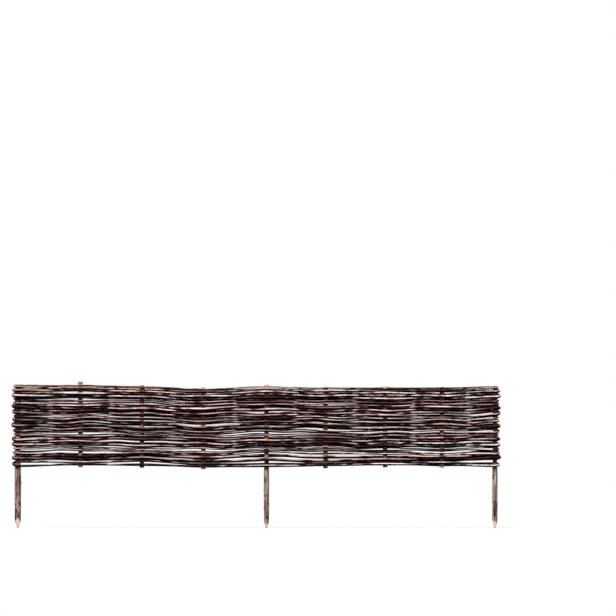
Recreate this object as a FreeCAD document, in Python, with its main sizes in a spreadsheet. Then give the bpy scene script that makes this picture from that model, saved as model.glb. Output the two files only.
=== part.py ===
"""A woven willow hurdle: nine upright stakes with thin rods woven in and out between them."""

import FreeCAD, Part
import math
import os
import Sketcher

from enum import IntEnum
from FreeCAD import Placement, Rotation, Vector

# Driving dimensions in millimetres
DRIVING_SIZES = {
    "stake_spacing": 146.5,
    "leg_diameter": 14.0,
    "leg_length": 150.0,
    "post_diameter": 12.4,
    "post_taper_length": 16.0,
    "short_stake_diameter": 11.2,
    "point_length": 22.0,
    "point_blunt_width": 2.4,
    "top_stub": 8.0,
    "foot_stub": 5.0,
    "rod_diameter": 4.9,
    "rod_spread": 1.9,
    "row_gap": 0.06,
    "weave_slack": 10.0,
    "top_lift": 9.0,
    "foot_drop": 5.0,
    "seat_clearance": 0.3,
    "lead_in": 6.0,
    "butt_gap": 3.0,
}

# Counts: stakes along the panel, rods stacked up each end post, and the cuts and corners of each
STAKES = range(9)
LEFT_POST, MIDDLE_POST, RIGHT_POST = STAKES[0], STAKES[4], STAKES[-1]
POST_NAMES = {LEFT_POST: "left_post", MIDDLE_POST: "middle_post", RIGHT_POST: "right_post"}
ROD_PAIRS = 18
ROWS = 2 * ROD_PAIRS
POINT_CUTS = 4
ROD_SIDES = 8
TURN_CORNERS = 5

# Places of the stakes along the panel, in usual bays from the middle post
STAKE_PLACE = (-4.17, -3.12, -2.09, -1.06, 0.0, 0.99, 1.99, 2.94, 3.83)

# Thickness of each post against the usual one
POST_SHARE = {LEFT_POST: 1.06, MIDDLE_POST: 0.88, RIGHT_POST: 0.88}

# Shares of top_lift, foot_drop and top_stub at each stake, left to right
LIFT_SHARE = (1.0, 1.0, 0.7, 0.0, 0.65, 0.25, 0.3, 0.25, 0.6)
DROP_SHARE = (0.85, 0.0, 0.25, 1.0, 1.0, 0.55, 0.05, 0.25, 0.85)
STUB_SHARE = (0.15, 1.0, 0.2, 0.3, 0.4, 0.25, 0.3, 0.25, 0.15)

# Stakes that hide the butted rod ends: odd ones for even rows, even ones for odd rows
EVEN_ROW_BUTTS = STAKES[3], STAKES[5]
ODD_ROW_BUTTS = STAKES[4], STAKES[2], STAKES[4], STAKES[6]

# How rod thickness steps from one rod to the next up the panel
SPREAD_STEP = 5

# How the openings under the rows come and go, in radians for each row, each stake, and each row at each stake
OPENING_UP = 1.236
OPENING_ALONG = 2.39
OPENING_TWIST = 1.116

# How much the openings keep to a few rows, and the share of their width that is left at the top
OPENING_POWER = 4
TOP_OPENING_SHARE = 0.15

# Number that a sketch gives its own origin
ORIGIN = -1

FRONT, BACK = -1, 1
OUTWARD = {"left": -1, "right": 1}
END_POST = {"left": LEFT_POST, "right": RIGHT_POST}

# Height of the weave's top edge over the ground line where it isn't lifted
WEAVE_HEIGHT = f"({ROWS} * Sizes.rod_diameter + {ROWS - 1} * Sizes.row_gap + Sizes.weave_slack)"
TOP_LEVEL = f"(Sizes.foot_drop + {WEAVE_HEIGHT})"


class PointOf(IntEnum):
    """Which point of a line or circle a sketch constraint holds."""

    START = 1
    END = 2
    CENTRE = 3


def make_sheet(doc):
    """The table of driving dimensions, one named cell each."""
    sheet = doc.addObject("Spreadsheet::Sheet", "Sizes")
    for line, (alias, value) in enumerate(DRIVING_SIZES.items(), start=1):
        sheet.set(f"A{line}", alias)
        sheet.set(f"B{line}", str(value))
        sheet.setAlias(f"B{line}", alias)
    doc.recompute()
    return sheet


def stake_label(stake):
    """Name of a stake: the posts by place, the short stakes numbered from the left."""
    if stake in POST_NAMES:
        return POST_NAMES[stake]
    return f"short_stake_{stake - sum(post < stake for post in POST_NAMES) + 1}"


def stake_x_expression(stake):
    """Distance of a stake's axis from the middle post's axis."""
    return f"({STAKE_PLACE[stake]} * Sizes.stake_spacing)"


def leg_radius_expression(stake):
    """Radius of a post's leg."""
    return f"({POST_SHARE[stake]} * Sizes.leg_diameter / 2)"


def upper_radius_expression(stake):
    """Radius of a stake where the rods pass it."""
    if stake in POST_NAMES:
        return f"({POST_SHARE[stake]} * Sizes.post_diameter / 2)"
    return "(Sizes.short_stake_diameter / 2)"


def stake_top_expression(stake):
    """Height of a stake's cut top: a stub above the top of the weave there."""
    lift = f"{LIFT_SHARE[stake]} * Sizes.top_lift"
    stub = f"{STUB_SHARE[stake]} * Sizes.top_stub"
    return f"({TOP_LEVEL} + {lift} + {stub})"


def stake_bottom_expression(stake):
    """Height of a stake's lower end: a post's point, or a short stake's foot just under the weave."""
    if stake in POST_NAMES:
        return "(-Sizes.leg_length)"
    return f"({1 - DROP_SHARE[stake]:.2f} * Sizes.foot_drop - Sizes.foot_stub)"


def origin_feature(body, role):
    """The plane or axis of a body's own origin that has the given role."""
    return next(feature for feature in body.Origin.OriginFeatures if feature.Role == role)


def new_sketch(body, name, plane):
    """An empty sketch on one of a body's own origin planes."""
    sketch = body.newObject("Sketcher::SketchObject", name)
    sketch.AttachmentSupport = [(origin_feature(body, plane), "")]
    sketch.MapMode = "FlatFace"
    return sketch


def bind(sketch, constraint, name, expression):
    """Add a sketch constraint and tie its value to an expression."""
    sketch.renameConstraint(sketch.addConstraint(constraint), name)
    sketch.setExpression(f"Constraints.{name}", expression)


def closed_outline(sketch, points):
    """Draw a closed outline whose corners are (x, y) pairs of expressions."""
    values = [[float(sketch.evalExpression(text)) for text in point] for point in points]
    corners = [Vector(x, y, 0) for x, y in values]
    for start, end in zip(corners, corners[1:] + corners[:1]):
        sketch.addGeometry(Part.LineSegment(start, end), False)
    for edge in range(len(corners)):
        following = (edge + 1) % len(corners)
        sketch.addConstraint(Sketcher.Constraint("Coincident", edge, PointOf.END, following, PointOf.START))
    for edge, (point, value) in enumerate(zip(points, values)):
        for kind, expression, number in zip(("DistanceX", "DistanceY"), point, value):
            constraint = Sketcher.Constraint(kind, ORIGIN, PointOf.START, edge, PointOf.START, number)
            bind(sketch, constraint, f"{kind}_{edge}", expression)


def make_stake(doc, stake):
    """One stake with its bark on, standing at its place along the panel."""
    label = stake_label(stake)
    length = f"{stake_top_expression(stake)} - {stake_bottom_expression(stake)}"
    body = doc.addObject("PartDesign::Body", label)
    body.Label = label
    if stake in POST_NAMES:
        turn_post(doc, body, stake, length)
        cut_point(doc, body, stake)
    else:
        extrude_short_stake(body, stake, length)
    body.setExpression("Placement.Base.x", stake_x_expression(stake))
    body.setExpression("Placement.Base.z", stake_bottom_expression(stake))
    return body


def extrude_short_stake(body, stake, length):
    """A short stake: a round stick sawn square at both ends."""
    radius = float(body.evalExpression(upper_radius_expression(stake)))
    section = new_sketch(body, f"{body.Label}_section", "XY_Plane")
    section.addGeometry(Part.Circle(Vector(), Vector(0, 0, 1), radius), False)
    section.addConstraint(Sketcher.Constraint("Coincident", 0, PointOf.CENTRE, ORIGIN, PointOf.START))
    bind(section, Sketcher.Constraint("Radius", 0, radius), "bark", upper_radius_expression(stake))
    stick = body.newObject("PartDesign::Pad", f"{body.Label}_stick")
    stick.Profile = section
    stick.setExpression("Length", length)


def turn_post(doc, body, stake, length):
    """A post's stick: a straight leg that narrows a little where the weave starts, sawn square at the top."""
    leg_radius = leg_radius_expression(stake)
    post_radius = upper_radius_expression(stake)
    outline = new_sketch(body, f"{body.Label}_outline", "XZ_Plane")
    corners = [
        ("0", "0"),
        (leg_radius, "0"),
        (leg_radius, "Sizes.leg_length"),
        (post_radius, "Sizes.leg_length + Sizes.post_taper_length"),
        (post_radius, length),
        ("0", length),
    ]
    closed_outline(outline, corners)
    stick = body.newObject("PartDesign::Revolution", f"{body.Label}_stick")
    stick.Profile = outline
    stick.ReferenceAxis = (origin_feature(body, "Z_Axis"), [""])
    stick.Angle = 360
    doc.recompute()


def cut_point(doc, body, stake):
    """Sharpen a post: one slanting stroke across the leg, repeated round its axis."""
    inner = "Sizes.point_blunt_width / 2"
    outer = f"2 * {leg_radius_expression(stake)} - {inner}"
    outline = new_sketch(body, f"{body.Label}_stroke_outline", "XZ_Plane")
    closed_outline(outline, [(inner, "0"), (outer, "0"), (outer, "2 * Sizes.point_length")])

    stroke = body.newObject("PartDesign::Pocket", f"{body.Label}_stroke")
    stroke.Profile = outline
    stroke.Type = "ThroughAll"
    stroke.SideType = "Symmetric"
    doc.recompute()

    strokes = body.newObject("PartDesign::PolarPattern", f"{body.Label}_point")
    strokes.Originals = [stroke]
    strokes.Axis = (origin_feature(body, "Z_Axis"), [""])
    strokes.Angle = 360
    strokes.Occurrences = POINT_CUTS
    body.Tip = strokes


class Weave:
    """Where each row of rods runs, worked out from the sheet."""

    def __init__(self, sheet):
        self.sheet = sheet
        self.size = {alias: float(sheet.get(alias)) for alias in DRIVING_SIZES}
        self.tight_levels = [self.rod_radius(0)]
        for row in range(1, ROWS):
            step = self.rod_radius(row - 1) + self.size["row_gap"] + self.rod_radius(row)
            self.tight_levels.append(self.tight_levels[-1] + step)

    def evaluate(self, expression):
        """Value of an expression over the sheet."""
        return float(self.sheet.evalExpression(expression))

    def spread(self, row):
        """How far a row's rod is from the usual thickness, from -1 to 1; over all the rows the sum is 0."""
        return math.sin(2 * math.pi * SPREAD_STEP * (row // 2) / ROD_PAIRS)

    def rod_radius(self, row):
        """Distance from a rod's axis to the corners of its section."""
        return (self.size["rod_diameter"] + self.size["rod_spread"] * self.spread(row)) / 2

    def opening(self, row, stake):
        """How much of the room at a stake lies just under a row, against the other rows."""
        if row == 0:
            return 0.0
        beat = math.sin(OPENING_UP * row + (OPENING_ALONG + OPENING_TWIST * row) * stake)
        looseness = TOP_OPENING_SHARE + (1 - row / (ROWS - 1)) ** 2
        return looseness * max(beat, 0.0) ** OPENING_POWER

    def level(self, row, stake):
        """Height of a row's axis at a stake: a tight stack, with the room there shared between the rows."""
        lift = self.size["top_lift"] * LIFT_SHARE[stake]
        drop = self.size["foot_drop"] * DROP_SHARE[stake]
        openings = [self.opening(number, stake) for number in range(ROWS)]
        room_below = (self.size["weave_slack"] + lift + drop) * sum(openings[: row + 1]) / sum(openings)
        return self.size["foot_drop"] - drop + self.tight_levels[row] + room_below

    def side(self, row, stake):
        """Which face of a stake a row passes: neighbouring rows and neighbouring stakes take turns."""
        return FRONT if (row + stake) % 2 == 0 else BACK

    def stake_radius(self, row, stake):
        """Radius of a stake under a row, at the row's lower edge where a post is widest."""
        upper = self.evaluate(upper_radius_expression(stake))
        if stake not in POST_NAMES:
            return upper
        leg = self.evaluate(leg_radius_expression(stake))
        share = (self.level(row, stake) - self.rod_radius(row)) / self.size["post_taper_length"]
        return leg + (upper - leg) * min(max(share, 0.0), 1.0)

    def at_stake(self, row, stake, along=0.0):
        """Point of a row's axis beside a stake, moved along the panel from the stake's axis."""
        seat = self.stake_radius(row, stake) + self.size["seat_clearance"] + self.rod_radius(row)
        x = self.evaluate(stake_x_expression(stake)) + along
        return Vector(x, self.side(row, stake) * seat, self.level(row, stake))

    def butt_stake(self, row):
        """The stake that a row's two rods meet behind."""
        butts = EVEN_ROW_BUTTS if row % 2 == 0 else ODD_ROW_BUTTS
        return butts[row // 2 % len(butts)]

    def arm(self, row, hand):
        """Corners of one row of a rod, from its butt behind a stake to the end post."""
        outward = OUTWARD[hand]
        butt = self.butt_stake(row)
        passed = range(butt + outward, END_POST[hand], outward)
        return [
            self.at_stake(row, butt, outward * self.size["butt_gap"] / 2),
            *(self.at_stake(row, stake) for stake in passed),
            self.at_stake(row, END_POST[hand], -outward * self.size["lead_in"]),
        ]

    def turn(self, pair, hand):
        """Corners of the half turn round an end post, rising from the lower row to the upper one."""
        start = self.at_stake(2 * pair, END_POST[hand])
        end = self.at_stake(2 * pair + 1, END_POST[hand])
        centre = (start + end) / 2
        outward = Vector(OUTWARD[hand], 0, 0) * (start - centre).Length
        half_step = math.pi / TURN_CORNERS / 2
        angles = [half_step * (2 * corner + 1) for corner in range(TURN_CORNERS)]
        return [
            centre + ((start - centre) * math.cos(angle) + outward * math.sin(angle)) / math.cos(half_step)
            for angle in angles
        ]

    def path(self, pair, hand):
        """Wire of a whole rod: out along the lower row, round the end post, and back along the upper row."""
        out_arm = self.arm(2 * pair, hand)
        back_arm = self.arm(2 * pair + 1, hand)[::-1]
        return Part.makePolygon(out_arm + self.turn(pair, hand) + back_arm)


def make_weaver(doc, weave, pair, hand):
    """One thin rod: an eight-sided section carried along its woven path, mitred at each bend."""
    label = f"{hand}_weaver_{pair + 1:02d}"
    path = doc.addObject("Part::Feature", f"{label}_path")
    path.Shape = weave.path(pair, hand)

    section = doc.addObject("Part::RegularPolygon", f"{label}_section")
    section.Polygon = ROD_SIDES
    thickness = f"Sizes.rod_diameter + {weave.spread(2 * pair):.6f} * Sizes.rod_spread"
    section.setExpression("Circumradius", f"({thickness}) / 2")
    start, following = [vertex.Point for vertex in path.Shape.OrderedVertexes[:2]]
    along = following - start
    across = Vector(0, 0, 1).cross(along)
    section.Placement = Placement(start, Rotation(across, Vector(), along, "ZXY"))

    weaver = doc.addObject("Part::Sweep", label)
    weaver.Label = label
    weaver.Sections = [section]
    weaver.Spine = (path, [f"Edge{number + 1}" for number in range(len(path.Shape.Edges))])
    weaver.Solid = True
    weaver.Transition = "Right corner"
    return weaver


def check(doc, sub_parts):
    """Stop if any object failed to compute or any sub-part isn't one valid solid."""
    failed = [item.Name for item in doc.Objects if {"Invalid", "Error"} & set(item.State)]
    for item in sub_parts:
        shape = item.Shape
        if shape.isNull() or not shape.isValid() or len(shape.Solids) != 1:
            failed.append(item.Label)
    if failed:
        raise RuntimeError(f"failed to build: {failed}")


def main():
    doc = FreeCAD.newDocument("WillowHurdle")
    sheet = make_sheet(doc)
    stakes = [make_stake(doc, stake) for stake in STAKES]
    weave = Weave(sheet)
    weavers = [make_weaver(doc, weave, pair, hand) for hand in OUTWARD for pair in range(ROD_PAIRS)]
    doc.recompute()
    check(doc, stakes + weavers)

    for weaver in weavers:
        section_area = Part.Face(Part.Wire(weaver.Sections[0].Shape.Edges)).Area
        length = weaver.Spine[0].Shape.Length
        share = weaver.Shape.Volume / (section_area * length)
        print(f"{weaver.Label}: {length:.0f} mm long, volume {share:.4f} of section times length")

    os.makedirs("parts", exist_ok=True)
    box = FreeCAD.BoundBox()
    for item in stakes + weavers:
        item.Shape.exportStep(f"parts/{item.Label}.step")
        box.add(item.Shape.BoundBox)
    print(f"{len(stakes + weavers)} sub-parts, {box.XLength:.1f} x {box.YLength:.1f} x {box.ZLength:.1f} mm")


main()
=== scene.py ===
# %% [markdown]
# # A woven willow hurdle
# A hurdle is a low fence panel: upright stakes with thin willow rods woven in and out between them. Three of
# the stakes run on down as sharpened legs that push into the ground. The CAD model gives every stake and rod
# its place. This lesson gives each one its real surface: round rods with buds and bark, knotty stakes,
# hewn points and pale sawn ends. The frame comes first, because every piece rides on it.

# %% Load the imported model
import math

import bpy
import numpy as np
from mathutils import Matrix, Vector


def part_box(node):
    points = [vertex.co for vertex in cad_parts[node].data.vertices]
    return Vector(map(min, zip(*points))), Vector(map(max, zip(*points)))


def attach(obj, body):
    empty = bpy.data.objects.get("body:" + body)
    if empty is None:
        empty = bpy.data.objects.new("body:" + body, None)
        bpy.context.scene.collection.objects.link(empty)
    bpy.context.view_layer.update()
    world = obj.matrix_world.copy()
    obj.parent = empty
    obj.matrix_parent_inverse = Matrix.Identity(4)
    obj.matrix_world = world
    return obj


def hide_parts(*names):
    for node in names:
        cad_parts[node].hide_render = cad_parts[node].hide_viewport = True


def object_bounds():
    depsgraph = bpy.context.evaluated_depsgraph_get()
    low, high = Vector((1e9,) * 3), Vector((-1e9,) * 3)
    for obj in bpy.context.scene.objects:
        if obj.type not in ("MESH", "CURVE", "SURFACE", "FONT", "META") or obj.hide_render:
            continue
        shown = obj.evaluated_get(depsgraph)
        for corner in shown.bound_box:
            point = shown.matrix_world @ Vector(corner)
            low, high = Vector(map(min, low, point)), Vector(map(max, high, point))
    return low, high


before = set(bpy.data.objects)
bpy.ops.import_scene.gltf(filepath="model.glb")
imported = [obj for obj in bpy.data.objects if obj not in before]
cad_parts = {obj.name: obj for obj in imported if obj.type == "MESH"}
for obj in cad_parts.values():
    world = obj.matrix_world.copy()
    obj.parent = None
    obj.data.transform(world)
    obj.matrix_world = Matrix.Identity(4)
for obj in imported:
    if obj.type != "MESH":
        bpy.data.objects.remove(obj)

cad_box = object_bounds()
print("CAD nodes:", len(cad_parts), "box:", np.round(cad_box, 4).tolist())

# %% [markdown]
# ## Where the stakes stand and the rods run
# A weaver beats each rod down onto the one below, so the rows lie close, and the room left over gathers in a
# few openings, most of them near the foot. One could place each rod by hand. Here the sizes that drive the
# CAD model are turned into whole tables, one line for each row and one column for each stake, so the visible
# rods keep to the solid ones.

# %% Sizes shared with the CAD model, in metres
MM = 0.001
STAKE_SPACING = 146.5 * MM
LEG_DIAMETER, POST_DIAMETER, SHORT_STAKE_DIAMETER = 14.0 * MM, 12.4 * MM, 11.2 * MM
POST_TAPER_LENGTH, POINT_LENGTH, POINT_BLUNT_WIDTH = 16.0 * MM, 22.0 * MM, 2.4 * MM
ROD_DIAMETER, ROD_SPREAD, ROW_GAP = 4.9 * MM, 1.9 * MM, 0.06 * MM
WEAVE_SLACK, TOP_LIFT, FOOT_DROP = 10.0 * MM, 9.0 * MM, 5.0 * MM
SEAT_CLEARANCE, BUTT_GAP = 0.3 * MM, 3.0 * MM

ROD_PAIRS = 18
SPREAD_STEP = 5
STAKE_PLACE = np.array([-4.17, -3.12, -2.09, -1.06, 0.0, 0.99, 1.99, 2.94, 3.83])
STAKES = len(STAKE_PLACE)
POST_SHARE = {0: 1.06, 4: 0.88, 8: 0.88}
POST_NAMES = {0: "left_post", 4: "middle_post", 8: "right_post"}
LIFT_SHARE = np.array([1.0, 1.0, 0.7, 0.0, 0.65, 0.25, 0.3, 0.25, 0.6])
DROP_SHARE = np.array([0.85, 0.0, 0.25, 1.0, 1.0, 0.55, 0.05, 0.25, 0.85])
EVEN_ROW_BUTTS, ODD_ROW_BUTTS = (3, 5), (4, 2, 4, 6)
OPENING_UP, OPENING_ALONG, OPENING_TWIST = 1.236, 2.39, 1.116
OPENING_POWER, TOP_OPENING_SHARE = 4, 0.15

stake_x = STAKE_PLACE * STAKE_SPACING
print("stakes at", np.round(stake_x, 3), "m from the middle post")

# %% Height of every row at every stake: a tight stack, with the room there shared out between the rows
row = np.arange(2 * ROD_PAIRS)[:, None]
stake = np.arange(STAKES)[None, :]
rod_radius = (ROD_DIAMETER + ROD_SPREAD * np.sin(2 * np.pi * SPREAD_STEP * (row // 2) / ROD_PAIRS)) / 2
steps = rod_radius[:-1] + ROW_GAP + rod_radius[1:]
stacked = rod_radius[0] + np.concatenate([[[0.0]], np.cumsum(steps, axis=0)])

beat = np.sin(OPENING_UP * row + (OPENING_ALONG + OPENING_TWIST * row) * stake)
opening = (TOP_OPENING_SHARE + (1 - row / row[-1]) ** 2) * np.maximum(beat, 0) ** OPENING_POWER
opening[0] = 0
opening *= (WEAVE_SLACK + TOP_LIFT * LIFT_SHARE + FOOT_DROP * DROP_SHARE) / opening.sum(axis=0)
level = FOOT_DROP * (1 - DROP_SHARE) + stacked + np.cumsum(opening, axis=0)
print("widest opening at each stake, mm:", np.round(opening.max(axis=0) / MM, 1))

# %% How far every row stands off the middle of the panel at every stake
post_scale = np.array([POST_SHARE.get(number, 0.0) for number in range(STAKES)])
leg_radius = np.where(post_scale > 0, post_scale * LEG_DIAMETER, SHORT_STAKE_DIAMETER) / 2
upper_radius = np.where(post_scale > 0, post_scale * POST_DIAMETER, SHORT_STAKE_DIAMETER) / 2
taper_share = np.clip((level - rod_radius) / POST_TAPER_LENGTH, 0, 1)
seat = leg_radius + (upper_radius - leg_radius) * taper_share + SEAT_CLEARANCE + rod_radius
side = np.where((row + stake) % 2 == 0, -1, 1)
print("rods stand off by", round(seat.min() / MM, 1), "to", round(seat.max() / MM, 1), "mm")

# %% [markdown]
# ## What no two crossings share
# A rod bent round a stake is pressed flat there and looks wider from the front, while halfway to the next
# stake its neighbours pinch it. That makes the long lozenges of a woven panel, and no two are alike: each is
# more or less flattened, sits a little high or low, and has dried paler or darker. Sculpting over three
# hundred of them would take days, so three tables of random numbers do it, from one seed so that they never
# change.

# %% Flattening, paleness and push, up or down, at every crossing
FLATTENING, END_FLATTENING = 0.25, 0.27
LEAST_SHARE, MOST_SHARE = 0.4, 1.5
CROSSING_SEED = 36
rng = np.random.default_rng(CROSSING_SEED)
usual = np.where((stake == 0) | (stake == STAKES - 1), END_FLATTENING, FLATTENING)
flattening = usual * rng.uniform(LEAST_SHARE, MOST_SHARE, level.shape)
paleness = rng.uniform(0, 1, level.shape)
push = rng.uniform(-1, 1, level.shape)
across = side * (seat + flattening * rod_radius)
print(level.size, "crossings, at most", round(flattening.max(), 2), "wider than the rod")

# %% How far each push moves the rod: it can slide until it meets the next rod on its own side of the stake
BUTT_SHARE, TIP_SHARE = 1.08, 1.02
NUDGE_SHARE, MOST_ROOM, EDGE_ROOM = 0.45, 4.5 * MM, 1.5 * MM
half_height = BUTT_SHARE * (1 + flattening) * rod_radius
room = np.clip(level[2:] - half_height[2:] - level[:-2] - half_height[:-2], 0, MOST_ROOM)
edge_room = np.full((2, room.shape[1]), EDGE_ROOM)
room_above, room_below = np.concatenate([room, edge_room]), np.concatenate([edge_room, room])
nudge = NUDGE_SHARE * push * np.where(push > 0, room_above, room_below)
print("rods are pushed up or down by", round(np.abs(nudge).mean() / MM, 1), "mm on average")

# %% [markdown]
# ## The path of one rod
# Each willow rod starts behind a stake near the middle, weaves out to an end post, bends round it and weaves
# back one row higher. A springy rod held by stakes on alternate sides takes a smooth wave, with its bends at
# the stakes. A curve object could be drawn through the points, but a formula keeps every bend on its stake:
# from one stake to the next the rod eases over to the other side by 3t² − 2t³, t being the share of the bay.
# Rods also settle as they dry, up in one place and down in another, and their neighbours settle with them.

# %% How far the weave has settled
# The length along the panel, the length up it and the height of each wave, in mm.
SETTLING = [(170, 160, 1.2), (110, -120, 0.7), (260, -220, 1.0)]


def settled(x, z):
    """How far a rod has settled up or down there: the sum of three waves, each dying away at foot and top.

    A wave is its height times sin(2π(x / its length along the panel + z / its length up it) + its number).
    """
    waves = [
        height * np.sin(2 * np.pi * (x / along + z / up) + number)
        for number, (along, up, height) in enumerate(np.array(SETTLING) * MM)
    ]
    return sum(waves) * np.sin(np.pi * np.clip(z / level.max(), 0, 1))


print("at the stakes, rods have settled by up to", round(np.abs(settled(stake_x, level)).max() / MM, 1), "mm")

# %% Follow one row from its butt to the end post
OUTWARD = {"left": -1, "right": 1}
END_STAKE = {"left": 0, "right": STAKES - 1}
PATH_STEP = 1.0 * MM


def arm_path(row_number, hand):
    """One row's points from its butt to the end post's axis, each with its fullness and paleness.

    Along the panel they are evenly spaced. Across, up and in paleness they go from one stake's value to the
    next stake's by e = 3t² − 2t³. Nudge and flattening are the nearest stake's times (1 − 2e)², so that
    they fade to nothing halfway between two stakes. The settling is added last.
    """
    butts = EVEN_ROW_BUTTS if row_number % 2 == 0 else ODD_ROW_BUTTS
    butt, outward = butts[row_number // 2 % len(butts)], OUTWARD[hand]
    order = np.arange(butt, END_STAKE[hand] + outward, outward)
    reach = np.abs(stake_x[order] - stake_x[butt])
    along = np.linspace(BUTT_GAP / 2, reach[-1], round(reach[-1] / PATH_STEP))
    bay = np.clip(np.searchsorted(reach, along, side="right") - 1, 0, len(order) - 2)
    t = (along - reach[bay]) / (reach[bay + 1] - reach[bay])
    ease = t * t * (3 - 2 * t)
    at_stakes = np.stack([across[row_number], level[row_number], paleness[row_number]])
    y, z, pale = at_stakes[:, order[bay]] * (1 - ease) + at_stakes[:, order[bay + 1]] * ease
    nearest, near = order[np.where(t < 0.5, bay, bay + 1)], (1 - 2 * ease) ** 2
    x = stake_x[butt] + outward * along
    z = z + near * nudge[row_number, nearest] + settled(x, z)
    full = 1 + near * flattening[row_number, nearest]
    return np.stack([x, y, z, full, pale], axis=1)


print("the lowest row has", len(arm_path(0, "left")), "points on the left")

# %% Follow a whole rod round the end post
TURN_POINTS = 40


def rod_path(pair, hand):
    """A whole rod's points: out along the lower row, half a turn round the end post, back along the upper.

    The turn is centre + start·cos a + outward·sin a for a from 0 to 180°, where start is the way from the
    centre to the lower row, so it rises smoothly into the upper row.
    """
    out, back = arm_path(2 * pair, hand), arm_path(2 * pair + 1, hand)[::-1]
    centre = (out[-1] + back[0]) / 2
    start = out[-1] - centre
    angle = np.linspace(0, np.pi, TURN_POINTS + 2)[1:-1, None]
    outward = np.array([OUTWARD[hand], 0, 0, 0, 0]) * np.linalg.norm(start[:3])
    return np.concatenate([out, centre + start * np.cos(angle) + outward * np.sin(angle), back])


print("one rod has", len(rod_path(0, "left")), "path points")

# %% [markdown]
# ## The skin of a rod
# A first-year willow shoot is nearly round, thicker at its butt than at its tip, and has a small bud every
# few centimetres, the buds winding round it. A beveled curve would give a plain tube. A grid of points gives
# more: one direction runs along the rod, the other round it, and the radius is a function of both.

# %% Rings along a path, and the radius of a willow shoot
RING_STEP = 2.6 * MM
RING_POINTS = 12
CUT_EDGE = 0.3 * MM
START_ANGLES = (0, 6)  # radians: a wave may start anywhere in nearly a whole turn
RIPPLE, RIPPLE_LENGTH, OVAL = 0.02, 23 * MM, 0.015
BUD_SPACING, BUD_SCATTER, BUD_SHUFFLE, BUD_TURN = 34 * MM, 7 * MM, 12.9, math.radians(144)
BUD_LENGTH, BUD_HEIGHT, BUD_WIDTH = 2.4 * MM, 0.45 * MM, 0.5
ring_angle = np.linspace(0, 2 * np.pi, RING_POINTS, endpoint=False)[None, :]


def even_rings(path):
    """Points at equal distances along a path, with one more just inside each cut end, and those distances."""
    run = np.concatenate([[0], np.cumsum(np.linalg.norm(np.diff(path[:, :3], axis=0), axis=1))])
    inner = np.linspace(CUT_EDGE, run[-1] - CUT_EDGE, round(run[-1] / RING_STEP))
    distance = np.concatenate([[0], inner, [run[-1]]])
    return np.stack([np.interp(distance, run, axis) for axis in path.T], axis=1), distance[:, None]


def shoot_radius(distance, angle, thickness, seed):
    """Radius of a shoot at each distance and angle, and how much of a bud is there.

    It is the thickness times a straight taper, a slow ripple along the shoot and a faint oval, plus one
    rounded bump for each bud. Buds come at nearly even distances, each 144° round from the last, and a
    bud's width is an angle.
    """
    start = np.random.default_rng(seed).uniform(*START_ANGLES)
    ripple = RIPPLE * np.sin(distance / RIPPLE_LENGTH + start) + OVAL * np.cos(2 * angle + seed)
    taper = BUTT_SHARE + (TIP_SHARE - BUTT_SHARE) * distance / distance[-1]
    number = np.round(distance / BUD_SPACING)
    bud_place = number * BUD_SPACING + BUD_SCATTER * np.sin(number * BUD_SHUFFLE + seed)
    off_bud = (distance - bud_place) / BUD_LENGTH
    off_angle = (angle - number * BUD_TURN - seed + np.pi) % (2 * np.pi) - np.pi
    bud = np.exp(-(off_bud**2) - (off_angle / BUD_WIDTH) ** 2)
    return thickness * (taper + ripple) + BUD_HEIGHT * bud, bud


one_metre = np.arange(0, 1, RING_STEP)[:, None]
radius = shoot_radius(one_metre, ring_angle, ROD_DIAMETER / 2, seed=1)[0]
print("a shoot's radius is", round(radius.min() / MM, 2), "to", round(radius.max() / MM, 2), "mm")


# %% Wrap the rings round a rod's path
def rod_skin(pair, hand, seed):
    """Grid of points round a rod's path: path + radius·(up·cos a + out·sin a), square to the path.

    Also its place on the unrolled rod, its buds and its paleness, and the middles of the two cut ends.
    """
    path, distance = even_rings(rod_path(pair, hand))
    path, full, pale = path[:, :3], path[:, 3:4], path[:, 4:]
    along = np.gradient(path, axis=0)
    out = np.cross(along, [0, 0, 1])
    up = np.cross(out, along)
    out /= np.linalg.norm(out, axis=1, keepdims=True)
    up /= np.linalg.norm(up, axis=1, keepdims=True)
    radius, bud = shoot_radius(distance, ring_angle, rod_radius[2 * pair] * full, seed)
    high, deep = radius * np.cos(ring_angle), radius * np.sin(ring_angle)
    grid = path[:, None] + high[..., None] * up[:, None] + deep[..., None] * out[:, None]
    unrolled = np.stack(np.broadcast_arrays(distance, high, deep), axis=-1)
    return grid, unrolled, bud, np.broadcast_to(pale, bud.shape), path[[0, -1]]


grid, unrolled, bud, pale, ends = rod_skin(0, "left", 1)
print("a rod's grid:", grid.shape[:2], "points, up to", round(bud.max(), 2), "of a bud")

# %% [markdown]
# ## From grid to mesh
# Every piece here is a closed skin: rings that run round, and a fan at each end that closes it to a middle
# point. One function makes it for rods and stakes alike, and stores what the bark needs to know at each
# point: its place on the unrolled stick, and whether the wood is bare there.

# %% Make a closed skin and let it stand for its CAD node
SHARP_ANGLE = math.radians(50)


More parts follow.
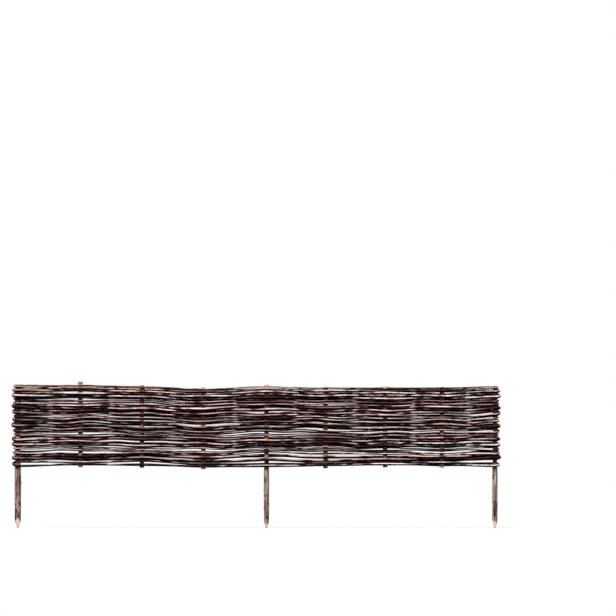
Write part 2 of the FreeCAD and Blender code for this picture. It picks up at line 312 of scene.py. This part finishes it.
def closed_skin(node, grid, ends, values):
    """A mesh of rings closed by two fans; values holds each point's numbers, rings first, then the ends."""
    rings, count = grid.shape[:2]
    points = np.concatenate([grid.reshape(-1, 3), ends])
    index = np.arange(rings * count).reshape(rings, count)
    following = np.roll(index, -1, axis=1)
    quads = np.stack([index[:-1], following[:-1], following[1:], index[1:]], axis=-1).reshape(-1, 4)
    first_fan = np.stack([np.full(count, rings * count), following[0], index[0]], axis=1)
    last_fan = np.stack([np.full(count, rings * count + 1), index[-1], following[-1]], axis=1)
    mesh = bpy.data.meshes.new(f"{node}_skin")
    mesh.from_pydata(points.tolist(), [], quads.tolist() + first_fan.tolist() + last_fan.tolist())
    for name, numbers in values.items():
        kind, key = ("FLOAT", "value") if numbers.ndim == 1 else ("FLOAT_VECTOR", "vector")
        mesh.attributes.new(name, kind, "POINT").data.foreach_set(key, numbers.astype(np.float32).ravel())
    mesh.polygons.foreach_set("use_smooth", np.ones(len(mesh.polygons), bool))
    mesh.set_sharp_from_angle(angle=SHARP_ANGLE)
    piece = bpy.data.objects.new(f"{node}_bark", mesh)
    bpy.context.scene.collection.objects.link(piece)
    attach(piece, "root")
    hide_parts(node)
    return piece


def with_ends(ring_values, first, last):
    """Values on a grid of rings as one list, followed by the values at the two end points."""
    return np.concatenate([ring_values.reshape(-1, *ring_values.shape[2:]), [first, last]])


print("edges sharper than", round(math.degrees(SHARP_ANGLE)), "degrees stay crisp, as at a cut end")

# %% Make the thirty-six rods
TINT_SEED = 7
rng = np.random.default_rng(TINT_SEED)
APART = 3.0  # metres of pattern between one stick and the next, so that no two show the same streaks
rods = []
for hand in OUTWARD:
    for pair in range(ROD_PAIRS):
        seed = len(rods) + 1
        grid, unrolled, bud, pale, ends = rod_skin(pair, hand, seed)
        bare = np.zeros(bud.shape)
        bare[[0, -1]] = 1
        values = {
            "unrolled": with_ends(unrolled + [seed * APART, 0, 0], [0, 0, 0], [0, 0, 0]),
            "upper": with_ends(np.broadcast_to(np.cos(ring_angle), bud.shape), 0, 0),
            "bud": with_ends(bud, 0, 0),
            "pale": with_ends(pale, 0, 0),
            "bare": with_ends(bare, 1, 1),
            "tint": np.full(bud.size + 2, rng.uniform()),
        }
        rods.append(closed_skin(f"{hand}_weaver_{pair + 1:02d}", grid, ends, values))
print(len(rods), "rods,", sum(len(rod.data.polygons) for rod in rods), "faces")

# %% [markdown]
# ## The stakes
# The stakes are older sticks, as thick as a finger or a thumb, with ridged bark and a few knots. They are
# sawn off square at the top, and the three legs are sharpened with four strokes of a billhook, which leave
# flat pale faces. A stake is a grid too: the radius is a function of the angle and the height, and at the
# point it is whatever is smaller, the bark or the flat cut there.

# %% The radius of a stake at every angle and height
STAKE_POINTS = 56
# The lengths of the four cuts on each leg, as shares of the point's length in the CAD model.
CUT_SHARES = {0: (0.9, 0.85, 0.95, 1.05), 4: (0.75, 1.05, 0.7, 0.5), 8: (0.7, 1.0, 0.95, 0.75)}
LEG_BARK = 0.5 * MM
RIDGES, RIDGE_HEIGHT, RIDGE_LENGTHS = (2, 3, 5, 8, 11), 0.16 * MM, (40 * MM, 110 * MM)
KNOTS, KNOT_MARGIN, HIGHEST_KNOT = 5, 30 * MM, 170 * MM
KNOT_LENGTH, KNOT_WIDTH, LEG_KNOT_HEIGHT, WEAVE_KNOT_HEIGHT = 3.2 * MM, 3.0 * MM, 1.1 * MM, 0.25 * MM
CUT_ROUNDING, LEAST_COSINE = 0.65, 0.05
stake_angle = np.linspace(0, 2 * np.pi, STAKE_POINTS, endpoint=False)[None, :]


def bark_radius(number, angle, height, bottom, rng):
    """Radius of a stake with its bark on, and how knotty it is there.

    It is the stick's radius, with thicker bark below the weave, plus a few waves that run round and up it
    and a rounded bump for each knot.
    """
    share = np.clip(height / POST_TAPER_LENGTH, 0, 1)
    radius = leg_radius[number] + (upper_radius[number] - leg_radius[number]) * share
    radius = radius + LEG_BARK * np.clip(-height / POST_TAPER_LENGTH, 0, 1)
    waves, knot = np.zeros((2, len(height), STAKE_POINTS))
    for ridges in RIDGES:
        length = rng.uniform(*RIDGE_LENGTHS)
        start = rng.uniform(*START_ANGLES)
        waves += np.sin(ridges * angle + 2 * np.pi * height / length + start) / ridges
    for place in rng.uniform(bottom + KNOT_MARGIN, HIGHEST_KNOT, KNOTS):
        off_angle = (angle - rng.uniform(0, 2 * np.pi) + np.pi) % (2 * np.pi) - np.pi
        knot += np.exp(-(((height - place) / KNOT_LENGTH) ** 2) - (off_angle * radius / KNOT_WIDTH) ** 2)
    knot_height = np.where(height < 0, LEG_KNOT_HEIGHT, WEAVE_KNOT_HEIGHT)
    return radius + RIDGE_HEIGHT * waves + knot_height * knot, knot


def cut_radius(number, angle, height, bottom):
    """Radius of the nearest cut of a point: its distance over the cosine of the angle off its middle.

    A cut's distance grows from the blunt tip to the stick's radius as the share of its length to a power
    under 1, a little rounded as a blade leaves it. Each of the four has its own length, so the bark ends
    askew.
    """
    blunt = POINT_BLUNT_WIDTH / 2
    lengths = POINT_LENGTH * np.array(CUT_SHARES[number])[:, None, None]
    middle = np.arange(len(lengths))[:, None, None] * np.pi / 2
    distance = blunt + (leg_radius[number] - blunt) * ((height - bottom) / lengths) ** CUT_ROUNDING
    return (distance / np.maximum(np.cos(angle - middle), LEAST_COSINE)).min(axis=0)


print("the legs are", np.round(2 * leg_radius[list(POST_SHARE)] / MM, 1), "mm thick under their bark")

# %% The rings of a stake, from its foot to its sawn top
STAKE_STEP, POINT_STEP = 2.2 * MM, 0.7 * MM
CUT_REACH, BARK_EDGE = 1.1 * POINT_LENGTH, 0.15 * MM
FOOT_INSETS, TOP_INSETS = [0.5], [0.7, 0.35]
STAKE_SEED = 100


def stake_rings(number, bottom, top, rng):
    """Radius, height, bareness and knots of every ring, with more rings on the flats of foot and top."""
    cut_top = bottom + (CUT_REACH if number in POST_SHARE else 2 * CUT_EDGE)
    lower = np.linspace(bottom, cut_top, max(3, round((cut_top - bottom) / POINT_STEP)))
    upper = np.linspace(cut_top, top - CUT_EDGE, round((top - cut_top) / STAKE_STEP))
    height = np.concatenate([lower, upper[1:], [top]])[:, None]
    radius, knot = bark_radius(number, stake_angle, height, bottom, rng)
    bare = np.zeros_like(radius)
    if number in POST_SHARE:
        cut = cut_radius(number, stake_angle, height, bottom)
        radius, bare = np.minimum(radius, cut), np.clip((radius - cut) / BARK_EDGE, 0, 1)
    bare[-1] = 1
    ring = np.concatenate([[0], np.arange(len(height)), [-1, -1]])
    inset = np.concatenate([FOOT_INSETS, np.ones(len(height)), TOP_INSETS])[:, None]
    return radius[ring] * inset, height[ring], np.where(inset < 1, 1, bare[ring]), knot[ring]


tall_radius = stake_rings(0, cad_box[0][2], cad_box[1][2], np.random.default_rng(STAKE_SEED))[0]
print("a post as tall as the hurdle has", len(tall_radius), "rings of", STAKE_POINTS, "points")

# %% [markdown]
# ## What the weave does to a stake
# Inside the weave a stake's bark gets painted shade, mixed toward a red-brown where the rods shade it, and on
# some of them the bark has come off near the top, where the rods were beaten down past it. Both are stored as
# numbers from 0 to 1 that the bark's material reads.

# %% Build the nine stakes
# How far down from its top the bark has come off each of these stakes.
PEELED = {4: 36 * MM, 5: 16 * MM, 6: 16 * MM, 7: 12 * MM}
PEELED_EDGE, WEAVE_SHADE_FROM, WEAVE_SHADE_EDGE, UNSHADED_TOP = 6 * MM, 12 * MM, 8 * MM, 4 * MM
stakes = []
for number in range(STAKES):
    node = POST_NAMES.get(number, f"short_stake_{number - sum(post < number for post in POST_NAMES) + 1}")
    bottom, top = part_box(node)[0][2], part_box(node)[1][2]
    radius, height, bare, knot = stake_rings(number, bottom, top, np.random.default_rng(STAKE_SEED + number))
    # Painted shade of the rods: 1 inside the weave, fading in above its foot and out just below the stake's
    # top.
    weave_shade = np.clip((height - WEAVE_SHADE_FROM) / WEAVE_SHADE_EDGE, 0, 1) * np.clip((top - height) / UNSHADED_TOP - 1, 0, 1)
    peeled = np.clip((height - top + PEELED.get(number, 0.0)) / PEELED_EDGE, 0, 1)
    place = np.array([stake_x[number], 0, 0])
    x, y = radius * np.cos(stake_angle), radius * np.sin(stake_angle)
    grid = np.stack(np.broadcast_arrays(x, y, height), axis=-1)
    ends = np.array([[0, 0, bottom], [0, 0, top]])
    values = {
        "grain": with_ends(grid, *ends) + [0, 0, number * APART],
        "bare": with_ends(bare, 1, 1),
        "knot": with_ends(knot, 0, 0),
        "weave_shade": with_ends(np.broadcast_to(weave_shade, knot.shape), 0, 0),
        "peeled": with_ends(np.broadcast_to(peeled, knot.shape), 0, 0),
    }
    stakes.append(closed_skin(node, grid + place, ends + place, values))
print(len(stakes), "stakes,", sum(len(piece.data.polygons) for piece in stakes), "faces")

# %% [markdown]
# ## Finishes
# Materials are made from nodes. One function turns the hex colours that designers use, which are sRGB, into
# the linear values that Blender works in, and one adds a node with its settings and links.

# %% Helpers for materials
# Places of a Mix node's sockets: how much of the second colour, the two colours, and the result.
AMOUNT, FIRST, SECOND, MIXED = 0, 6, 7, 2
BLENDED, MULTIPLIED = {"data_type": "RGBA"}, {"data_type": "RGBA", "blend_type": "MULTIPLY"}


def linear(hex_colour):
    """Linear RGBA of an sRGB hex colour: c/12.92 when dark, else ((c + 0.055)/1.055) to the power 2.4."""
    channels = np.array([int(hex_colour[place : place + 2], 16) for place in (1, 3, 5)]) / 255
    return (*np.where(channels <= 0.04045, channels / 12.92, ((channels + 0.055) / 1.055) ** 2.4), 1.0)


def add_node(tree, kind, inputs=None, stops=None, **settings):
    """Add a node; inputs maps sockets to values or other sockets, stops fills a ramp: first, last, others."""
    made = tree.nodes.new(kind)
    for name, value in settings.items():
        setattr(made, name, value)
    for place, (position, colour) in enumerate(stops or []):
        ramp = made.color_ramp.elements
        stop = ramp[place] if place < 2 else ramp.new(position)
        stop.position, stop.color = position, linear(colour)
    for name, value in (inputs or {}).items():
        if isinstance(value, bpy.types.NodeSocket):
            tree.links.new(value, made.inputs[name])
        else:
            made.inputs[name].default_value = value
    return made


def new_material(name):
    """An empty node material, and its tree."""
    material = bpy.data.materials.new(name)
    material.use_nodes = True
    material.node_tree.nodes.clear()
    return material, material.node_tree


print("bare willow in linear colour:", np.round(linear("#E6D3BE"), 3))

# %% [markdown]
# ## Willow rod bark
# Dried willow keeps its bark: thin, smooth and dull, from purple-brown through red-brown to greyish olive,
# each rod its own. Over that colour each rod gets painted light and shade: a painted highlight on the sides
# that face out and up, and painted shade, nearly black, on the underside and on the line on top where the
# next rod rests, so a woven panel is a pattern of pale lines on dark. The streaks must follow every bend, so
# the material reads the place on the unrolled rod, not in space.

# %% Willow rod bark: each rod's own colour, paler and darker from crossing to crossing
rod_bark, tree = new_material("willow_rod_bark")
unrolled = add_node(tree, "ShaderNodeAttribute", attribute_name="unrolled").outputs["Vector"]
tint = add_node(tree, "ShaderNodeAttribute", attribute_name="tint").outputs["Fac"]
pale = add_node(tree, "ShaderNodeAttribute", attribute_name="pale").outputs["Fac"]
rod_stops = [(0.0, "#BC989C"), (1.0, "#ECD0C2")]
rod_stops += [(0.2, "#FAECEA"), (0.4, "#C8949A"), (0.6, "#FFFCFC"), (0.8, "#C0B2AE")]
rod_colour = add_node(tree, "ShaderNodeValToRGB", {"Fac": tint}, stops=rod_stops).outputs["Color"]
pale_stops = [(0.2, "#4E2A32"), (0.6, "#FFFFFF")]
pale_colour = add_node(tree, "ShaderNodeValToRGB", {"Fac": pale}, stops=pale_stops).outputs["Color"]
blend = {AMOUNT: 1.0, FIRST: rod_colour, SECOND: pale_colour}
colour = add_node(tree, "ShaderNodeMix", blend, **MULTIPLIED).outputs[MIXED]
print("rod colour has", len(tree.nodes), "nodes")

# %% Blotches about 45 mm long, and streaks 3 mm wide, a little wider than real ones so that they show
for size, detail, stops in [
    ((45 * MM, 60 * MM, 60 * MM), 2.0, [(0.38, "#7C5258"), (0.53, "#FFFFFF")]),
    ((45 * MM, 3 * MM, 3 * MM), 4.0, [(0.3, "#A89C9C"), (0.6, "#FFFFFF")]),
]:
    scale = [1 / length for length in size]
    place = add_node(tree, "ShaderNodeMapping", {"Vector": unrolled, "Scale": scale}).outputs["Vector"]
    noise = {"Vector": place, "Scale": 1.0, "Detail": detail}
    streak = add_node(tree, "ShaderNodeTexNoise", noise).outputs["Fac"]
    shade = add_node(tree, "ShaderNodeValToRGB", {"Fac": streak}, stops=stops).outputs["Color"]
    blend = {AMOUNT: 1.0, FIRST: colour, SECOND: shade}
    colour = add_node(tree, "ShaderNodeMix", blend, **MULTIPLIED).outputs[MIXED]
print("with blotches and streaks,", len(tree.nodes), "nodes")

# %% Painted highlight on the upper side, painted shade below and on the top line, red-brown buds, pale cut ends
upper = add_node(tree, "ShaderNodeAttribute", attribute_name="upper").outputs["Fac"]
bud = add_node(tree, "ShaderNodeAttribute", attribute_name="bud").outputs["Fac"]
bare = add_node(tree, "ShaderNodeAttribute", attribute_name="bare").outputs["Fac"]
# Painted light and shade, by how far each point faces up: nearly black underneath, full colour as a painted
# highlight on the upper front, and darker again as painted shade on the very top where the next rod rests.
from_below = {"Value": upper, "From Min": -1.0, "From Max": 1.0}
sky_side = add_node(tree, "ShaderNodeMapRange", from_below).outputs["Result"]
light_and_shade_stops = [(0.51, "#0E0000"), (0.98, "#663A3A"), (0.6, "#5E2E32"), (0.67, "#FFFFFF"), (0.89, "#FFFFFF")]
painted_light_and_shade = add_node(tree, "ShaderNodeValToRGB", {"Fac": sky_side}, stops=light_and_shade_stops).outputs["Color"]
blend = {AMOUNT: 1.0, FIRST: colour, SECOND: painted_light_and_shade}
colour = add_node(tree, "ShaderNodeMix", blend, **MULTIPLIED).outputs[MIXED]
for amount, patch in [(bud, "#6E4A44"), (bare, "#E0C7AC")]:
    blend = {AMOUNT: amount, FIRST: colour, SECOND: linear(patch)}
    colour = add_node(tree, "ShaderNodeMix", blend, **BLENDED).outputs[MIXED]
ridges = {"Height": streak, "Strength": 0.35, "Distance": 0.25 * MM}
relief = add_node(tree, "ShaderNodeBump", ridges).outputs["Normal"]

# Thin dry bark scatters the light: the eye sees its streaks and colour and hardly any shine on them.
rod_shader = add_node(
    tree,
    "ShaderNodeBsdfPrincipled",
    {"Base Color": colour, "Roughness": 0.5, "Normal": relief, "IOR": 1.45, "Specular IOR Level": 0.02},
).outputs["BSDF"]
add_node(tree, "ShaderNodeOutputMaterial", {"Surface": rod_shader})
for rod in rods:
    rod.data.materials.append(rod_bark)
print("willow rod bark has", len(tree.nodes), "nodes")

# %% [markdown]
# ## Stake bark and cut wood
# The stakes' bark is older: grey-brown and dull, with pinkish and greenish streaks up the stick and dark
# knots. Where a blade or a saw went through, the wood is pale cream, with growth rings on the sawn tops.
# A photo of bark could be wrapped round, but noise stretched up the stick never repeats and has no seam.

# %% Stake bark: streaks 5 mm wide and 60 mm tall, dark knots, painted shade in the weave and peeled tops
stake_bark, tree = new_material("willow_stake_bark")
grain = add_node(tree, "ShaderNodeAttribute", attribute_name="grain").outputs["Vector"]
scale = (1 / (5 * MM), 1 / (5 * MM), 1 / (60 * MM))
place = add_node(tree, "ShaderNodeMapping", {"Vector": grain, "Scale": scale}).outputs["Vector"]
streak = add_node(
    tree, "ShaderNodeTexNoise", {"Vector": place, "Scale": 1.0, "Detail": 6.0, "Roughness": 0.65}
).outputs["Fac"]
bark_stops = [(0.36, "#42352F"), (0.64, "#F2ECE7"), (0.44, "#89776F"), (0.5, "#B2A29A"), (0.56, "#9D9B89")]
colour = add_node(tree, "ShaderNodeValToRGB", {"Fac": streak}, stops=bark_stops).outputs["Color"]
for size, stops in [
    ((10 * MM, 10 * MM, 70 * MM), [(0.42, "#D8B4BE"), (0.58, "#D8CEB4"), (0.5, "#F6F0EE")]),
    ((9 * MM, 9 * MM, 15 * MM), [(0.54, "#FFFFFF"), (0.66, "#5A463C")]),
]:
    scale = [1 / length for length in size]
    place = add_node(tree, "ShaderNodeMapping", {"Vector": grain, "Scale": scale}).outputs["Vector"]
    noise = {"Vector": place, "Scale": 1.0, "Detail": 3.0}
    patches = add_node(tree, "ShaderNodeTexNoise", noise).outputs["Fac"]
    shade = add_node(tree, "ShaderNodeValToRGB", {"Fac": patches}, stops=stops).outputs["Color"]
    blend = {AMOUNT: 1.0, FIRST: colour, SECOND: shade}
    colour = add_node(tree, "ShaderNodeMix", blend, **MULTIPLIED).outputs[MIXED]
# The weave's mark is painted shade: a red-brown mixed in where the rods shade the stake.
for name, patch in [("knot", "#4A3A32"), ("weave_shade", "#A87E6A"), ("peeled", "#D2A67C")]:
    amount = add_node(tree, "ShaderNodeAttribute", attribute_name=name).outputs["Fac"]
    blend = {AMOUNT: amount, FIRST: colour, SECOND: linear(patch)}
    colour = add_node(tree, "ShaderNodeMix", blend, **BLENDED).outputs[MIXED]
print("stake bark has", len(tree.nodes), "nodes so far")

# %% Pale cut wood with growth rings 1.3 mm apart
ONE_RING = 0.32  # the Scale at which a Wave texture repeats about once a unit
bare = add_node(tree, "ShaderNodeAttribute", attribute_name="bare").outputs["Fac"]
scale = (1 / (1.3 * MM), 1 / (1.3 * MM), 0.0)
place = add_node(tree, "ShaderNodeMapping", {"Vector": grain, "Scale": scale}).outputs["Vector"]
growth = add_node(
    tree,
    "ShaderNodeTexWave",
    {"Vector": place, "Scale": ONE_RING, "Distortion": 0.6, "Detail": 2.0},
    wave_type="RINGS",
    rings_direction="Z",
).outputs["Fac"]
wood_stops = [(0.0, "#E6CEBA"), (1.0, "#F6E4D6")]
wood = add_node(tree, "ShaderNodeValToRGB", {"Fac": growth}, stops=wood_stops).outputs["Color"]
blend = {AMOUNT: bare, FIRST: colour, SECOND: wood}
colour = add_node(tree, "ShaderNodeMix", blend, **BLENDED).outputs[MIXED]
ridges = {"Height": streak, "Strength": 0.5, "Distance": 0.4 * MM}
relief = add_node(tree, "ShaderNodeBump", ridges).outputs["Normal"]

# Old bark and cut wood are rougher still: the eye sees ridges that catch the light, and no shine at all.
stake_shader = add_node(
    tree,
    "ShaderNodeBsdfPrincipled",
    {"Base Color": colour, "Roughness": 0.72, "Normal": relief, "IOR": 1.45, "Specular IOR Level": 0.02},
).outputs["BSDF"]
add_node(tree, "ShaderNodeOutputMaterial", {"Surface": stake_shader})
for piece in stakes:
    piece.data.materials.append(stake_bark)
print("stake bark has", len(tree.nodes), "nodes")

# %% [markdown]
# ## Floor, light and camera
# The hurdle stands on its points on a white floor. The floor and the world are white only to the camera and
# to reflections, so that they don't wash light up between the rods. One broad lamp from high in front lights
# the top of every rod and leaves its underside dark, as daylight does. A second one lights the back.

# %% A helper that tells what is seen from what only lights
SEEN_BY = ("Is Camera Ray", "Is Glossy Ray", "Is Transmission Ray")


def seen_rays(tree):
    """1 for rays that come from the camera, a mirror or glass, 0 for those that only gather light."""
    rays = add_node(tree, "ShaderNodeLightPath").outputs
    seen = rays[SEEN_BY[0]]
    for kind in SEEN_BY[1:]:
        seen = add_node(tree, "ShaderNodeMath", {0: seen, 1: rays[kind]}, operation="MAXIMUM").outputs[0]
    return seen


print("the white shows where a ray says:", ", ".join(SEEN_BY))

# %% White floor with a shadow
FLOOR_HALF, FLOOR_GLOW = 6.0, 0.55
floor_height = cad_box[0][2]
corners = FLOOR_HALF * np.array([(-1, -1, 0), (1, -1, 0), (1, 1, 0), (-1, 1, 0)]) + [0, 0, floor_height]
floor_mesh = bpy.data.meshes.new("floor_mesh")
floor_mesh.from_pydata(corners.tolist(), [], [(0, 1, 2, 3)])
floor = bpy.data.objects.new("floor", floor_mesh)
bpy.context.scene.collection.objects.link(floor)

# Matt white paint: the eye sees one even white that takes the shadow of the weave and mirrors nothing.
floor_paint, tree = new_material("white_floor_paint")
white = add_node(tree, "ShaderNodeBsdfDiffuse", {"Color": linear("#A0A0A0")}).outputs["BSDF"]
light = {"Color": linear("#FFFFFF"), "Strength": FLOOR_GLOW}
glow = add_node(tree, "ShaderNodeEmission", light).outputs["Emission"]
white_glow = add_node(tree, "ShaderNodeAddShader", {0: white, 1: glow}).outputs["Shader"]
grey = add_node(tree, "ShaderNodeBsdfDiffuse", {"Color": linear("#6A6A6A")}).outputs["BSDF"]
seen = {0: seen_rays(tree), 1: grey, 2: white_glow}
surface = add_node(tree, "ShaderNodeMixShader", seen).outputs["Shader"]
add_node(tree, "ShaderNodeOutputMaterial", {"Surface": surface})
floor_mesh.materials.append(floor_paint)
print("floor at", round(floor_height, 4), "m")

# %% White world that gives only a little light of its own
AMBIENT = 0.11
world = bpy.data.worlds.new("white_studio")
world.use_nodes = True
tree = world.node_tree
tree.nodes.clear()
light = {"Color": linear("#FFF6F4"), "Strength": AMBIENT}
ambient = add_node(tree, "ShaderNodeBackground", light).outputs["Background"]
light = {"Color": linear("#FFFFFF"), "Strength": 1.0}
backdrop = add_node(tree, "ShaderNodeBackground", light).outputs["Background"]
seen = {0: seen_rays(tree), 1: ambient, 2: backdrop}
surface = add_node(tree, "ShaderNodeMixShader", seen).outputs["Shader"]
add_node(tree, "ShaderNodeOutputWorld", {"Surface": surface})
bpy.context.scene.world = world
bpy.context.scene.view_settings.view_transform = "Standard"
print("world light:", AMBIENT)

# %% Two broad lamps, one from high in front and one from behind
# The name of each, its degrees above the floor, its degrees round the hurdle, and its strength.
LAMPS = [("front_lamp", 50, -15, 5.0), ("back_lamp", 22, 165, 3.3)]
LAMP_WIDTH = math.radians(12)
for name, elevation, turn, energy in LAMPS:
    sun = bpy.data.lights.new(name, "SUN")
    sun.energy = energy
    sun.angle = LAMP_WIDTH
    sun.color = linear("#FFFBF8")[:3]
    lamp = bpy.data.objects.new(name, sun)
    lamp.rotation_euler = (math.radians(90 - elevation), 0, math.radians(turn))
    bpy.context.scene.collection.objects.link(lamp)
    print(name, "from", elevation, "degrees up")

# %% Camera square on to the front
FRAME_PIXELS = 616
MM_PER_PIXEL = 2.457
MIDDLE_POST_PIXEL, TIP_PIXEL = 266.5, 528.3
CAMERA_ELEVATION, CAMERA_DISTANCE, CAMERA_REACH = math.radians(0.5), 4.0, 50.0
camera_data = bpy.data.cameras.new("front_camera")
camera_data.type = "ORTHO"
camera_data.ortho_scale = FRAME_PIXELS * MM_PER_PIXEL * MM
camera_data.clip_end = CAMERA_REACH
camera = bpy.data.objects.new("front_camera", camera_data)
right_of_post = (FRAME_PIXELS / 2 - MIDDLE_POST_PIXEL) * MM_PER_PIXEL * MM
above_tip = (TIP_PIXEL - FRAME_PIXELS / 2) * MM_PER_PIXEL * MM
lookout = np.array([0, -math.cos(CAMERA_ELEVATION), math.sin(CAMERA_ELEVATION)])
up_picture = np.array([0, math.sin(CAMERA_ELEVATION), math.cos(CAMERA_ELEVATION)])
tip = np.array([right_of_post, 0, floor_height])
camera.location = tip + up_picture * above_tip + lookout * CAMERA_DISTANCE
camera.rotation_euler = (math.pi / 2 - CAMERA_ELEVATION, 0, 0)
bpy.context.scene.collection.objects.link(camera)
bpy.context.scene.camera = camera
print("camera takes in", round(camera_data.ortho_scale, 3), "m")
